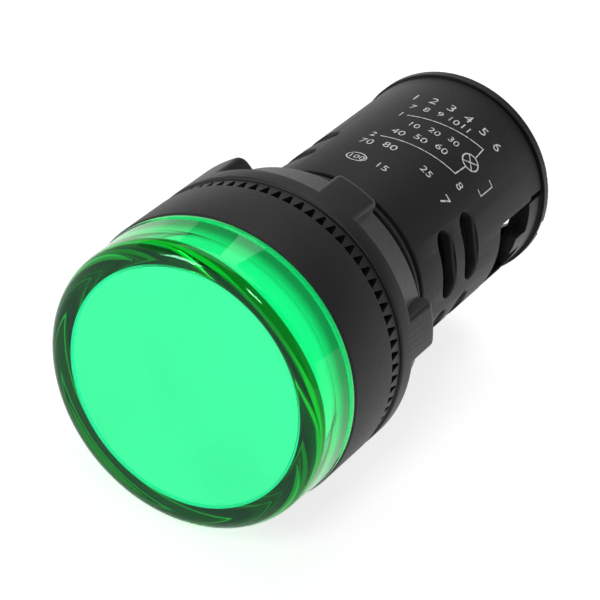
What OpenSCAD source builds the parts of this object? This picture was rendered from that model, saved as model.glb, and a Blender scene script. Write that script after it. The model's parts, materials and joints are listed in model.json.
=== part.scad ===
// Panel pilot light for a 22 mm hole, with a screw-terminal rear end.
// The lens looks along -Y, the barrel runs back along +Y into the cabinet, and +Z is up.
// The origin is the centre of the hole, on the face of the panel that the head lands on.
// Every length is in millimetres, and every depth is measured from that face:
// positive depths lie behind the panel and negative depths in front of it.

/* [Head] */
// How far the round head reaches past the neck, on the panel
head_over = 3.5; // [3:0.1:4.5]
// Height of the head in front of the panel
head_len = 6.8; // [6:0.1:9]
// Chamfer on the two edges of the head
head_chamfer = 0.25; // [0.1:0.05:0.5]
// Depth of the cup in the head that takes the lens and the lamp board
head_cup_depth = 4.6; // [4.2:0.1:5]
// Wall of the head around its cup
head_wall = 1.2; // [0.9:0.1:2]

/* [Neck and barrel] */
// Diameter of the threaded neck that passes the panel hole
neck_d = 22; // [21:0.25:23]
// Depth at which the locating land of the neck starts
land_start = 8.85; // [8.8:0.05:9.2]
// Length of the locating land
land_len = 2.05; // [1.5:0.05:2.2]
// Width of the groove in front of the last thread crest
crest_gap = 0.55; // [0.3:0.05:0.7]
// Width of the last thread crest
crest_w = 0.4; // [0.3:0.05:0.6]
// Depth of the thread grooves below the crest
thread_depth = 0.7; // [0.4:0.05:0.8]
// Width of the undercut between the thread and the barrel
undercut_w = 1.25; // [1:0.05:2]
// Depth of the undercut below the neck
undercut_depth = 0.9; // [0.5:0.05:1]
// How far the barrel stays below the neck, in radius
barrel_step = 0.35; // [0.2:0.05:0.8]
// Depth of the rear end of the barrel
barrel_end = 38.5; // [38:0.25:44]
// Wall of the barrel
barrel_wall = 1.15; // [1:0.05:1.3]

/* [Vent slots] */
// Number of slot pairs around the barrel
slot_pairs = 6; // [2:1:6]
// Angle from one slot pair to the next
slot_pitch = 47; // [44:1:50]
// Width of one slot, along the barrel
slot_w = 2.4; // [1.5:0.1:2.8]
// Length of one slot, across the barrel
slot_len = 6.8; // [5:0.1:7]
// Depth of the middle of the front row of slots
slot_row_start = 18.5; // [17:0.25:19]
// Distance between the two rows of slots
slot_row_gap = 4.55; // [4:0.05:4.8]

/* [Wire windows] */
// Width of each wire window
window_w = 8.6; // [7:0.1:9]
// Length of the windows, up to the rear end of the barrel
window_len = 9.1; // [8.5:0.1:9.4]
// Extra width of the window beside the cover, on each side
window_step = 0.3; // [0.1:0.05:0.5]

/* [Lens] */
// Height of the lens in front of the head
lens_h = 6.3; // [5.5:0.1:8]
// How far the lens stays inside the edge of the head, in radius
lens_step = 0.1; // [0.05:0.05:0.5]
// How much smaller the lens gets in radius towards its front
lens_draft = 0.2; // [0:0.05:0.5]
// Radius of the rounded front edge of the lens
lens_edge_r = 1.5; // [0.5:0.1:2]
// Thickness of the front wall of the lens
lens_front_wall = 1; // [0.8:0.1:2]
// Wall of the spigot of the lens
spigot_wall = 1.2; // [0.9:0.1:1.6]
// Clearance around the spigot of the lens in the cup of the head
lens_fit = 0.1; // [0.05:0.05:0.2]

/* [Lamp] */
// Thickness of the lamp board
lamp_board_t = 1.2; // [0.8:0.1:1.4]
// Clearance around the lamp board in the cup of the head
lamp_board_fit = 0.2; // [0.1:0.05:0.4]
// Side of one light-emitting chip
chip_side = 3; // [2:0.1:3.5]
// Height of one light-emitting chip
chip_h = 1; // [0.6:0.1:1.6]
// Number of chips on the ring around the middle one
chip_ring_count = 6; // [3:1:8]
// Radius of the ring of chips
chip_ring_r = 7; // [6.5:0.1:9]
// Wall of the diffuser cup
diffuser_wall = 0.8; // [0.6:0.1:1.2]
// Gap around the diffuser cup in the lens
diffuser_gap = 0.2; // [0.1:0.05:0.4]

/* [Panel gasket] */
// Thickness of the gasket, which is the depth of its recess
gasket_t = 0.9; // [0.6:0.1:1]
// Width of the gasket ring
gasket_w = 2; // [1.5:0.1:2.4]
// Clearance on each side of the gasket in its recess
gasket_fit = 0.1; // [0.05:0.05:0.2]

/* [Lock ring] */
// Number of teeth on the lock ring
tooth_count = 74; // [60:1:80]
// Thickness of the lock ring with its teeth
ring_t = 1.68; // [1.5:0.05:2]
// How far the lock ring stays below the nut in radius
ring_inset = 0.25; // [0.1:0.05:0.5]
// Depth of the gaps between the teeth
tooth_depth = 1.3; // [0.6:0.05:1.4]
// Width of a gap at the tips of the teeth
tooth_gap_tip = 0.86; // [0.5:0.02:0.9]
// Width of a gap at the roots of the teeth
tooth_gap_root = 0.24; // [0.1:0.02:0.4]
// Width of the plain land between the teeth and the bore
ring_land = 0.95; // [0.8:0.05:1.5]
// Clearance between the bore of the lock ring and the neck
ring_clear = 0.3; // [0.2:0.05:0.5]
// Gap on each face of the lock ring
ring_gap = 0.1; // [0.05:0.01:0.2]

/* [Lock nut] */
// Thickness of the flange of the nut
nut_flange_t = 2.1; // [1.5:0.1:3]
// Length of the whole nut
nut_len = 6.8; // [5:0.1:6.9]
// How far the collar stays below the lugs where it leaves the flange, in radius
collar_step = 0.5; // [0.3:0.1:1]
// How much the collar narrows towards its rear end, in radius
collar_taper = 1.2; // [0.5:0.1:1.4]
// Running clearance between the nut and the neck
nut_clear = 0.06; // [0.02:0.01:0.1]
// Number of wing lugs on the nut
lug_count = 6; // [3:1:8]
// Width of one lug
lug_w = 4.45; // [3:0.05:6]
// Radius of the rounded rear corner of a lug, seen from the side
lug_corner_r = 1.2; // [0.5:0.1:2]
// Radius of the two rear corners of a lug, seen from outside
lug_side_r = 0.5; // [0.2:0.1:1]
// Angle at which the nut has come to rest
nut_clock = 24; // [0:1:59]

/* [Terminals] */
// Distance of each terminal screw from the wall of the barrel
screw_edge = 4.5; // [4.3:0.1:4.8]
// How far the rear face of the terminal block lies behind the front edge of the windows
block_sill = 0.1; // [0:0.1:0.4]
// Length of the terminal block
block_len = 5.2; // [5:0.1:5.2]
// Clearance around the terminal block in the barrel
block_fit = 0.15; // [0.1:0.05:0.3]
// Half the thickness of the wall between the terminals
partition_half = 0.6; // [0.4:0.1:0.9]
// Gap between the wall between the terminals and the terminal cover
partition_gap = 1.7; // [0.5:0.1:3]
// Thickness of each contact strip
strip_t = 1; // [0.8:0.1:1.2]
// Width of each contact strip
strip_w = 6; // [5.5:0.1:6]
// Height of each contact strip
strip_h = 8; // [6:0.1:8]
// Width of the tail of each contact strip
tail_w = 2.4; // [1.5:0.1:3]
// Thickness of the tail of each contact strip
tail_t = 0.6; // [0.4:0.05:0.7]
// How far the tail lies on the driver board
tail_lap = 2; // [1:0.1:3]
// Clearance around the tail in the terminal block
tail_fit = 0.1; // [0.05:0.05:0.2]
// Thickness of each clamp plate
clamp_t = 1; // [0.8:0.1:1.2]
// Width of each clamp plate
clamp_w = 5.5; // [5:0.1:5.6]
// Height of each clamp plate
clamp_h = 7.4; // [6:0.1:7.6]
// Gap between the closed clamp plate and its strip
clamp_gap = 0.2; // [0.1:0.05:0.4]
// Height of the lips along the upper and lower edges of each clamp plate
clamp_lip = 0.5; // [0.3:0.05:0.7]

/* [Terminal screws] */
// Thread diameter of the terminal screws
screw_d = 3; // [2.5:0.1:3]
// Running clearance of the screw in its strip
screw_clear = 0.05; // [0.02:0.01:0.1]
// Clearance of the screw in its clamp plate
clamp_clear = 0.15; // [0.1:0.05:0.3]
// Clearance of the screw in the terminal block
block_clear = 0.4; // [0.3:0.05:0.6]
// Length of the screws below their heads
screw_len = 6; // [4.5:0.1:6.2]
// Diameter of the screw heads
screw_head_d = 5.4; // [5:0.1:5.8]
// Height of the screw heads
screw_head_h = 1.9; // [1.5:0.1:2.2]
// Width of the cross slots in the heads
cross_w = 0.8; // [0.6:0.1:1]
// Length of the cross slots in the heads
cross_len = 3.6; // [3:0.1:4]
// Depth of the cross slots in the heads
cross_depth = 1.1; // [0.8:0.1:1.3]

/* [Terminal cover] */
// How far the rim of the terminal cover reaches past the barrel, in radius
cover_over = 0.25; // [0.1:0.05:0.4]
// Thickness of the terminal cover behind the barrel
cover_t = 1.05; // [0.8:0.05:1.5]
// Gap between the end of the barrel and the rim of the cover
cover_gap = 0.1; // [0.05:0.05:0.3]
// Rounding of the outer edge of the cover
cover_edge_r = 0.3; // [0.1:0.05:0.5]
// Length of the skirt of the cover inside the barrel
skirt_len = 2.6; // [2:0.1:2.8]
// Wall of the skirt of the cover
skirt_wall = 0.85; // [0.6:0.05:1]
// Clearance of the skirt in the bore of the barrel
skirt_fit = 0.15; // [0.1:0.05:0.3]
// Gap between the tongues of the cover and the sides of the windows
tongue_gap = 0.3; // [0.1:0.05:0.5]
// How far the tongues stay below the outside of the barrel
tongue_inset = 0.15; // [0.05:0.05:0.3]
// Length of the snap tab in front of each tongue
tab_len = 2.2; // [1:0.1:2.2]
// Width of each snap tab
tab_w = 1.9; // [1.5:0.1:3]
// Thickness of each snap tab
tab_t = 0.9; // [0.6:0.05:1]
// Diameter of the two screwdriver holes
access_d = 6.2; // [6:0.1:6.4]
// Width of the pry notches in the rim
notch_w = 1.8; // [1:0.1:3]
// Depth of the pry notches in the rim
notch_depth = 0.6; // [0.3:0.1:0.8]

/* [Driver board] */
// Height of the top face of the driver board above the axis
board_top = -3; // [-3.2:0.1:-2.8]
// Thickness of the driver board
board_t = 1.2; // [0.8:0.1:1.4]
// Gap between the long edges of the driver board and the wall of the barrel
board_fit = 0.3; // [0.2:0.1:1]
// Depth of the front edge of the driver board
board_start = -0.4; // [-0.6:0.1:0]
// Gap between the driver board and the terminal block
board_gap = 0.8; // [0.5:0.1:1.5]
// Diameter of the pins between the two boards
pin_d = 0.7; // [0.5:0.05:0.9]
// Distance between the two pins
pin_gap = 5; // [3:0.5:7]
// How far the pins lie on the driver board
pin_lap = 1.6; // [1:0.1:1.8]
// How far the pins stand out of the lamp board
pin_tip = 0.3; // [0.1:0.1:0.5]
// Clearance around the pins in the lamp board
pin_fit = 0.1; // [0.05:0.05:0.2]
// Width of the dropper capacitor
dropper_w = 9.6; // [8:0.1:9.8]
// Length of the dropper capacitor
dropper_len = 10.5; // [8:0.1:11]
// Height of the dropper capacitor
dropper_h = 8.6; // [6:0.1:9]
// Depth of the front of the dropper capacitor
dropper_start = 1.8; // [1.8:0.1:2]
// Diameter of the smoothing capacitor
smoother_d = 5; // [4:0.1:5.6]
// Length of the smoothing capacitor
smoother_len = 7; // [5:0.1:7.5]
// Distance of the smoothing capacitor from the axis
smoother_x = 4.5; // [4:0.1:4.8]
// Width of the rectifier
rectifier_w = 4.6; // [4:0.1:5]
// Length of the rectifier
rectifier_len = 6; // [5:0.1:6.5]
// Height of the rectifier
rectifier_h = 2.6; // [2:0.1:3]
// Distance of the rectifier from the axis
rectifier_x = 4; // [3.5:0.1:4.2]
// Gap along the board between the dropper capacitor and the parts behind it
board_row_gap = 0.9; // [0.5:0.1:1.2]
// Diameter of the resistors
resistor_d = 2.2; // [1.8:0.1:2.4]
// Length of the resistors
resistor_len = 6.2; // [5:0.1:6.8]
// Distance of the resistors from the axis
resistor_x = 6.3; // [6.2:0.1:6.5]
// Depth of the middle of the resistors
resistor_y = 7; // [6:0.1:8]
// Diameter of the wires of the resistors
lead_d = 0.6; // [0.4:0.1:0.7]

/* [Hidden] */
$fn = 96;

// Side that each mirrored terminal part lies on
RIGHT = 1;
LEFT = -1;

// Radii worked out from the neck, the head and their steps
neck_r = neck_d / 2;
head_r = neck_r + head_over;
barrel_r = neck_r - barrel_step;
bore_r = barrel_r - barrel_wall;
cup_r = head_r - head_wall;
thread_root_r = neck_r - thread_depth;
undercut_r = neck_r - undercut_depth;

// Depths along the housing
head_front = -head_len;
cup_floor = head_front + head_cup_depth;
relief_start = land_start - crest_gap;
land_end = land_start + land_len;
crest_start = land_end + crest_gap;
crest_end = crest_start + crest_w;
barrel_start = crest_end + undercut_w;
gasket_inner_r = neck_r + ring_clear + gasket_fit;
window_start = barrel_end - window_len;

// Depths and radii of the lens, the lamp and the diffuser
lens_front = head_front - lens_h;
lens_r = head_r - lens_step;
lens_front_r = lens_r - lens_draft;
lens_cavity_front = lens_front + lens_front_wall;
lamp_board_front = cup_floor - lamp_board_t;
spigot_end = lamp_board_front - 0.1;
spigot_r = cup_r - lens_fit;
lens_bore_r = spigot_r - spigot_wall;
diffuser_r = lens_bore_r - diffuser_gap;
diffuser_front = lens_cavity_front + diffuser_gap / 2;

// Depths and radii of the lock ring and the nut, whose lugs reach as far out as the head
nut_r = head_r;
collar_r = nut_r - collar_step;
collar_end_r = collar_r - collar_taper;
ring_front = ring_gap;
ring_rear = ring_front + ring_t;
ring_r = nut_r - ring_inset;
ring_bore_r = neck_r + ring_clear;
tooth_len = ring_r - ring_bore_r - ring_land;
nut_front = ring_rear + ring_gap;
nut_rear = nut_front + nut_len;
flange_rear = nut_front + nut_flange_t;
nut_chamfer = 0.2;

// Depths of the terminals, from the block backwards
screw_x = bore_r - screw_edge;
block_rear = window_start + block_sill;
block_front = block_rear - block_len;
strip_rear = block_rear + strip_t;
clamp_front = strip_rear + clamp_gap;
clamp_rear = clamp_front + clamp_t;
head_under = clamp_rear + 0.05;
screw_r = screw_d / 2;
screw_end_wall = 0.6;

// Depths and radii of the terminal cover
cover_r = barrel_r + cover_over;
cover_front = barrel_end + cover_gap;
cover_rear = cover_front + cover_t;
skirt_front = cover_front - skirt_len;
skirt_r = bore_r - skirt_fit;
tongue_r = barrel_r - tongue_inset;
tab_front = skirt_front - tab_len;
partition_end = cover_front - partition_gap;

// Width of the driver board, and places along it
board_w = 2 * (sqrt(pow(bore_r, 2) - pow(board_top - board_t, 2)) - board_fit);
board_end = block_front - board_gap;
board_row = dropper_start + dropper_len + board_row_gap;
overlap = 0.5;

// Lays what is drawn upright on the panel plane along the axis of the light:
// x stays to the right, y becomes up, and z becomes the depth behind the panel.
module on_axis() {
    rotate([90, 0, 0]) mirror([0, 0, 1]) children();
}

// A ring or disc around the axis, from one depth to another
module ring(outer_r, inner_r, from, to) {
    rotate_extrude()
        translate([inner_r, from]) square([outer_r - inner_r, to - from]);
}

// A block that is centred on x and y, and runs from one depth to another
module block(width, height, from, to) {
    translate([-width / 2, -height / 2, from]) cube([width, height, to - from]);
}

// Half section of the housing: head, neck, undercut and barrel in one moulding
module housing_section() {
    polygon([
        [cup_r, head_front],
        [head_r - head_chamfer, head_front],
        [head_r, head_front + head_chamfer],
        [head_r, -head_chamfer],
        [head_r - head_chamfer, 0],
        [gasket_inner_r + gasket_w + 2 * gasket_fit, 0],
        [gasket_inner_r + gasket_w + 2 * gasket_fit, -gasket_t],
        [gasket_inner_r, -gasket_t],
        [gasket_inner_r, 0],
        [neck_r, 0],
        [neck_r, relief_start],
        [thread_root_r, relief_start + crest_gap / 2],
        [thread_root_r, land_start],
        [neck_r, land_start],
        [neck_r, land_end],
        [thread_root_r, land_end + crest_gap / 3],
        [thread_root_r, crest_start - crest_gap / 3],
        [neck_r, crest_start],
        [neck_r, crest_end],
        [undercut_r, crest_end + 0.1],
        [undercut_r, barrel_start - 0.1],
        [barrel_r - 0.1, barrel_start],
        [barrel_r, barrel_start + 0.1],
        [barrel_r, barrel_end - 0.2],
        [barrel_r - 0.2, barrel_end],
        [bore_r, barrel_end],
        [bore_r, cup_floor],
        [cup_r, cup_floor]
    ]);
}

// One slot with round ends, cut inwards along x
module slot_cutter(depth) {
    straight = slot_len - slot_w;
    translate([bore_r - 2, 0, depth])
        rotate([90, 0, 90])
            linear_extrude(4) {
                square([straight, slot_w], center = true);
                for (side = [-1, 1])
                    translate([side * straight / 2, 0]) circle(d = slot_w, $fn = 48);
            }
}

// The vent slots: pairs spread evenly to both sides of straight down
module vent_slots() {
    for (pair = [0 : slot_pairs - 1])
        rotate([0, 0, -90 + (pair - (slot_pairs - 1) / 2) * slot_pitch])
            for (row = [0, 1])
                slot_cutter(slot_row_start + row * slot_row_gap);
}

// The two wire windows, open to the rear end of the barrel
module wire_windows() {
    for (side = [RIGHT, LEFT])
        translate([side * barrel_r, 0, 0]) {
            block(barrel_r, window_w, window_start, barrel_end + overlap);
            block(barrel_r, window_w + 2 * window_step, skirt_front, barrel_end + overlap);
        }
}

module housing() {
    color([0.2, 0.2, 0.21])
        on_axis()
            difference() {
                rotate_extrude() housing_section();
                vent_slots();
                wire_windows();
            }
}

// Half section of the lens, with its rounded front edge and the spigot that enters the head
module lens_section() {
    edge_z = lens_front + lens_edge_r;
    difference() {
        union() {
            polygon([[0, edge_z], [lens_front_r, edge_z], [lens_r, head_front], [0, head_front]]);
            translate([0, lens_front]) square([lens_front_r - lens_edge_r, lens_edge_r]);
            translate([lens_front_r - lens_edge_r, edge_z])
                intersection() {
                    circle(r = lens_edge_r, $fn = 64);
                    translate([0, -lens_edge_r]) square(lens_edge_r);
                }
            translate([0, head_front - overlap]) square([spigot_r, spigot_end - head_front + overlap]);
        }
        translate([-overlap, lens_cavity_front])
            square([lens_bore_r + overlap, spigot_end - lens_cavity_front + overlap]);
    }
}

module lens() {
    color([0.1, 0.75, 0.4, 0.6])
        on_axis() rotate_extrude() lens_section();
}

module diffuser() {
    color([0.6, 1, 0.8])
        on_axis() {
            ring(diffuser_r, 0, diffuser_front, diffuser_front + diffuser_wall);
            ring(diffuser_r, diffuser_r - diffuser_wall, diffuser_front, lamp_board_front);
        }
}

// Places its children on the two pins that join the boards
module at_pins() {
    for (side = [-1, 1])
        translate([side * pin_gap / 2, board_top + pin_d / 2, 0]) children();
}

module lamp_board() {
    color([0.9, 0.9, 0.86])
        on_axis()
            difference() {
                ring(cup_r - lamp_board_fit, 0, lamp_board_front, cup_floor);
                at_pins()
                    translate([0, 0, lamp_board_front - overlap])
                        cylinder(r = pin_d / 2 + pin_fit, h = lamp_board_t + 2 * overlap, $fn = 24);
            }
}

module lamp_chips() {
    color([1, 0.85, 0.3])
        on_axis() {
            block(chip_side, chip_side, lamp_board_front - chip_h, lamp_board_front);
            for (index = [0 : chip_ring_count - 1])
                rotate([0, 0, (index + 0.5) * 360 / chip_ring_count])
                    translate([chip_ring_r, 0, 0])
                        block(chip_side, chip_side, lamp_board_front - chip_h, lamp_board_front);
        }
}

module panel_gasket() {
    inner_r = gasket_inner_r + gasket_fit;
    color([0.1, 0.1, 0.1])
        on_axis() ring(inner_r + gasket_w, inner_r, -gasket_t, 0);
}

// The wedge between two teeth, open towards the head
module tooth_gap() {
    translate([ring_r - tooth_len, 0, ring_front])
        rotate([90, 0, 90])
            linear_extrude(tooth_len + overlap)
                polygon([
                    [-tooth_gap_tip / 2, -overlap],
                    [tooth_gap_tip / 2, -overlap],
                    [tooth_gap_tip / 2, 0],
                    [tooth_gap_root / 2, tooth_depth],
                    [-tooth_gap_root / 2, tooth_depth],
                    [-tooth_gap_tip / 2, 0]
                ]);
}

module lock_ring() {
    color([0.22, 0.22, 0.23])
        on_axis()
            difference() {
                ring(ring_r, ring_bore_r, ring_front, ring_rear);
                for (index = [0 : tooth_count - 1])
                    rotate([0, 0, index * 360 / tooth_count]) tooth_gap();
            }
}

// Half section of the plain nut: flange, and a collar that tapers to the rear
module nut_section() {
    bore = neck_r + nut_clear;
    polygon([
        [bore, nut_front],
        [nut_r - nut_chamfer, nut_front],
        [nut_r, nut_front + nut_chamfer],
        [nut_r, flange_rear - nut_chamfer],
        [nut_r - nut_chamfer, flange_rear],
        [collar_r, flange_rear],
        [collar_end_r, nut_rear],
        [bore, nut_rear]
    ]);
}

// Half section of the ring that the lugs are cut from, with its round rear corner
module lug_section() {
    inner = collar_end_r - 0.4;
    corner_z = nut_rear - lug_corner_r;
    translate([inner, flange_rear - 0.6]) square([nut_r - inner, corner_z - flange_rear + 0.6]);
    translate([inner, corner_z - overlap]) square([nut_r - lug_corner_r - inner, lug_corner_r + overlap]);
    translate([nut_r - lug_corner_r, corner_z])
        intersection() {
            circle(r = lug_corner_r, $fn = 48);
            square(lug_corner_r);
        }
}

// Outline of one lug seen from outside, with two round corners at its rear end
module lug_outline() {
    length = nut_rear - flange_rear + 1;
    translate([-lug_w / 2, flange_rear - 1]) square([lug_w, length - lug_side_r]);
    translate([-lug_w / 2 + lug_side_r, flange_rear - 1]) square([lug_w - 2 * lug_side_r, length]);
    for (side = [-1, 1])
        translate([side * (lug_w / 2 - lug_side_r), nut_rear - lug_side_r]) circle(r = lug_side_r, $fn = 32);
}

module lock_nut() {
    color([0.2, 0.2, 0.21])
        on_axis() {
            rotate_extrude() nut_section();
            intersection() {
                rotate_extrude() lug_section();
                for (index = [0 : lug_count - 1])
                    rotate([0, 0, nut_clock + index * 360 / lug_count])
                        translate([neck_r, 0, 0])
                            rotate([90, 0, 90]) linear_extrude(nut_r) lug_outline();
            }
        }
}

module driver_board() {
    color([0.1, 0.4, 0.22])
        on_axis()
            translate([0, board_top - board_t / 2, 0]) block(board_w, board_t, board_start, board_end);
}

module board_pins() {
    pin_front = lamp_board_front - pin_tip;
    color([0.8, 0.8, 0.8])
        on_axis()
            at_pins()
                translate([0, 0, pin_front])
                    cylinder(d = pin_d, h = board_start + pin_lap - pin_front, $fn = 24);
}

module dropper_capacitor() {
    color([0.85, 0.65, 0.15])
        on_axis()
            translate([0, board_top + dropper_h / 2, 0])
                block(dropper_w, dropper_h, dropper_start, dropper_start + dropper_len);
}

module smoothing_capacitor() {
    color([0.15, 0.2, 0.35])
        on_axis()
            translate([-smoother_x, board_top + smoother_d / 2, board_row])
                cylinder(d = smoother_d, h = smoother_len, $fn = 64);
}

module rectifier() {
    color([0.15, 0.15, 0.15])
        on_axis()
            translate([rectifier_x, board_top + rectifier_h / 2, 0])
                block(rectifier_w, rectifier_h, board_row, board_row + rectifier_len);
}

// A resistor that lies on the board, with its two wires bent down into it
module resistor(side) {
    lead_y = resistor_len / 2 + lead_d;
    color([0.35, 0.6, 0.75])
        on_axis()
            translate([side * resistor_x, board_top + resistor_d / 2, resistor_y]) {
                translate([0, 0, -resistor_len / 2]) cylinder(d = resistor_d, h = resistor_len, $fn = 48);
                translate([0, 0, -lead_y]) cylinder(d = lead_d, h = 2 * lead_y, $fn = 24);
                for (end = [-1, 1])
                    translate([0, 0, end * lead_y])
                        rotate([90, 0, 0]) cylinder(d = lead_d, h = resistor_d / 2, $fn = 24);
            }
}

module surge_resistor() {
    resistor(RIGHT);
}

module bleed_resistor() {
    resistor(LEFT);
}

// The tail of a contact strip, which runs forward through the block onto the board
module tail(side, grow) {
    translate([side * screw_x, board_top + tail_t / 2, 0])
        block(tail_w + 2 * grow, tail_t + 2 * grow, board_end - tail_lap - grow, strip_rear);
}

module terminal_block() {
    color([0.88, 0.86, 0.8])
        on_axis()
            difference() {
                union() {
                    ring(bore_r - block_fit, 0, block_front, block_rear);
                    block(2 * partition_half, 2 * (skirt_r - skirt_wall) - 1, block_rear - overlap, partition_end);
                }
                for (side = [RIGHT, LEFT]) {
                    translate([side * screw_x, 0, block_front + screw_end_wall])
                        cylinder(r = screw_r + block_clear, h = block_len, $fn = 48);
                    tail(side, tail_fit);
                }
            }
}

module contact_strip(side) {
    color([0.85, 0.72, 0.4])
        on_axis()
            difference() {
                union() {
                    translate([side * screw_x, 0, 0]) block(strip_w, strip_h, block_rear, strip_rear);
                    tail(side, 0);
                }
                translate([side * screw_x, 0, block_rear - overlap])
                    cylinder(r = screw_r + screw_clear, h = strip_t + 2 * overlap, $fn = 48);
            }
}

module contact_strip_right() {
    contact_strip(RIGHT);
}

module contact_strip_left() {
    contact_strip(LEFT);
}

// The plate that the screw presses on the wire, with a lip on each side of the screw head
module clamp_plate(side) {
    color([0.8, 0.8, 0.8])
        on_axis()
            difference() {
                union() {
                    translate([side * screw_x, 0, 0]) block(clamp_w, clamp_h, clamp_front, clamp_rear);
                    for (edge = [-1, 1])
                        translate([side * screw_x, edge * (clamp_h - clamp_t / 2) / 2, 0])
                            block(clamp_w, clamp_t / 2, clamp_rear - overlap, clamp_rear + clamp_lip);
                }
                translate([side * screw_x, 0, clamp_front - overlap])
                    cylinder(r = screw_r + clamp_clear, h = clamp_t + 2 * overlap, $fn = 48);
            }
}

module clamp_plate_right() {
    clamp_plate(RIGHT);
}

module clamp_plate_left() {
    clamp_plate(LEFT);
}

// A pan-head screw with crossed slots
module terminal_screw(side) {
    head_top = head_under + screw_head_h;
    color([0.75, 0.75, 0.76])
        on_axis()
            translate([side * screw_x, 0, 0])
                difference() {
                    union() {
                        translate([0, 0, head_under - screw_len]) cylinder(r = screw_r, h = screw_len + overlap, $fn = 48);
                        rotate_extrude($fn = 64)
                            polygon([
                                [0, head_under],
                                [screw_head_d / 2, head_under],
                                [screw_head_d / 2, head_top - screw_head_h / 2],
                                [screw_head_d / 2 - 0.6, head_top],
                                [0, head_top]
                            ]);
                    }
                    block(cross_len, cross_w, head_top - cross_depth, head_top + overlap);
                    block(cross_w, cross_len, head_top - cross_depth, head_top + overlap);
                }
}

module terminal_screw_right() {
    terminal_screw(RIGHT);
}

module terminal_screw_left() {
    terminal_screw(LEFT);
}

// Half section of the cover: end plate with a round edge, and the skirt inside the barrel
module cover_section() {
    translate([0, cover_front]) square([cover_r, cover_t - cover_edge_r]);
    translate([0, cover_front]) square([cover_r - cover_edge_r, cover_t]);
    translate([cover_r - cover_edge_r, cover_rear - cover_edge_r]) circle(r = cover_edge_r, $fn = 32);
    translate([skirt_r - skirt_wall, skirt_front]) square([skirt_wall, skirt_len + cover_t / 2]);
}

// The two tongues that close the rear of the windows, each with a snap tab
module cover_tongues() {
    tongue_w = window_w - 2 * tongue_gap;
    intersection() {
        ring(tongue_r, skirt_r - skirt_wall, skirt_front, cover_front + overlap);
        block(2 * cover_r, tongue_w, skirt_front, cover_front + overlap);
    }
    intersection() {
        ring(tongue_r, tongue_r - tab_t, tab_front, skirt_front + overlap);
        block(2 * cover_r, tab_w, tab_front, skirt_front + overlap);
    }
}

module terminal_cover() {
    color([0.2, 0.2, 0.21])
        on_axis()
            difference() {
                union() {
                    rotate_extrude() cover_section();
                    cover_tongues();
                }
                for (side = [RIGHT, LEFT]) {
                    translate([side * screw_x, 0, cover_front - overlap])
                        cylinder(d = access_d, h = cover_t + 2 * overlap, $fn = 64);
                    translate([side * (cover_r - notch_depth / 2), 0, 0])
                        block(notch_depth + overlap / 2, notch_w, cover_front + cover_t / 3, cover_rear + overlap);
                }
            }
}

housing();
lens();
diffuser();
lamp_board();
lamp_chips();
panel_gasket();
lock_ring();
lock_nut();
driver_board();
board_pins();
dropper_capacitor();
smoothing_capacitor();
rectifier();
surge_resistor();
bleed_resistor();
terminal_block();
contact_strip_right();
contact_strip_left();
clamp_plate_right();
clamp_plate_left();
terminal_screw_right();
terminal_screw_left();
terminal_cover();
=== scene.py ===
"""Looks of a panel pilot light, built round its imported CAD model.

The lens looks along -Y, the barrel runs back along +Y and the printed side is up, along +Z.
Sizes in the classes are in millimetres, as in the CAD source; meshes are in metres, as the frame is.
"""

import json
import logging
import math
import sys
from dataclasses import dataclass
from enum import Enum
from functools import cached_property

import bmesh
import bpy
from mathutils import Matrix, Vector

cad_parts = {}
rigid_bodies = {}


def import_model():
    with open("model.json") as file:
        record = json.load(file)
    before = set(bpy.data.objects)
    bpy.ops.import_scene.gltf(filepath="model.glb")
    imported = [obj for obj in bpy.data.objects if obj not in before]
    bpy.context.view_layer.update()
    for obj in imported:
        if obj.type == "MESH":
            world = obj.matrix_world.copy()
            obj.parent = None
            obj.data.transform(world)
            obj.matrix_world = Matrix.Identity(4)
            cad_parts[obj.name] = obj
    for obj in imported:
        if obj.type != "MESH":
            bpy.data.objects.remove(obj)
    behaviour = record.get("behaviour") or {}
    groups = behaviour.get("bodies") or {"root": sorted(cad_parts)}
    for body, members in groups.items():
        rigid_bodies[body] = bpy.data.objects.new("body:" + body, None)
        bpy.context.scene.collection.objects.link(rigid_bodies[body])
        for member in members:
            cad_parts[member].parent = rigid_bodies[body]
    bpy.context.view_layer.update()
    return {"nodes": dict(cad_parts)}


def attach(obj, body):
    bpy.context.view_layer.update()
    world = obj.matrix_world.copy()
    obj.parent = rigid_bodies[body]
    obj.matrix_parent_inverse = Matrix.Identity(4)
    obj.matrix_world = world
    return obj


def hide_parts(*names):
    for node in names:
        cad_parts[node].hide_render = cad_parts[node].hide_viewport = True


log = logging.getLogger("pilot_light")

Piece = bpy.types.Object
Material = bpy.types.Material
Socket = bpy.types.NodeSocket
BMesh = bmesh.types.BMesh
Point = tuple[float, float]
Place = tuple[float, float, float]
Colour = tuple[float, float, float, float]

MM = 0.001
WHITE = (1.0, 1.0, 1.0, 1.0)
NOISE_LOW, NOISE_HIGH = 0.3, 0.7  # between these lies most of what a Noise Texture gives
FINEST_BEND = 0.045  # shortest step in a rounded corner, in mm
SHARP_DEG = 35  # edges that turn more than this stay sharp
MERGE = 1e-7  # points of a pattern closer than this, in metres, are one
NEAR = 1e-4  # points of a lug closer than this, in mm, are in line
QUARTER = math.pi / 2


class Side(Enum):
    """Side of the light that a wire window is on, as an angle round the axis in degrees."""

    RIGHT = 0
    LEFT = 180


class Way(Enum):
    """What is done with the closed bodies that a piece meets."""

    CUT = "DIFFERENCE"
    WELD = "UNION"


# ---- nodes and colours


def linear(colour: str) -> Colour:
    """Turns an sRGB colour of six hex digits into Blender's linear colour."""
    parts = [int(colour[i : i + 2], 16) / 255 for i in (0, 2, 4)]
    red, green, blue = (c / 12.92 if c <= 0.04045 else ((c + 0.055) / 1.055) ** 2.4 for c in parts)
    return red, green, blue, 1.0


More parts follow.
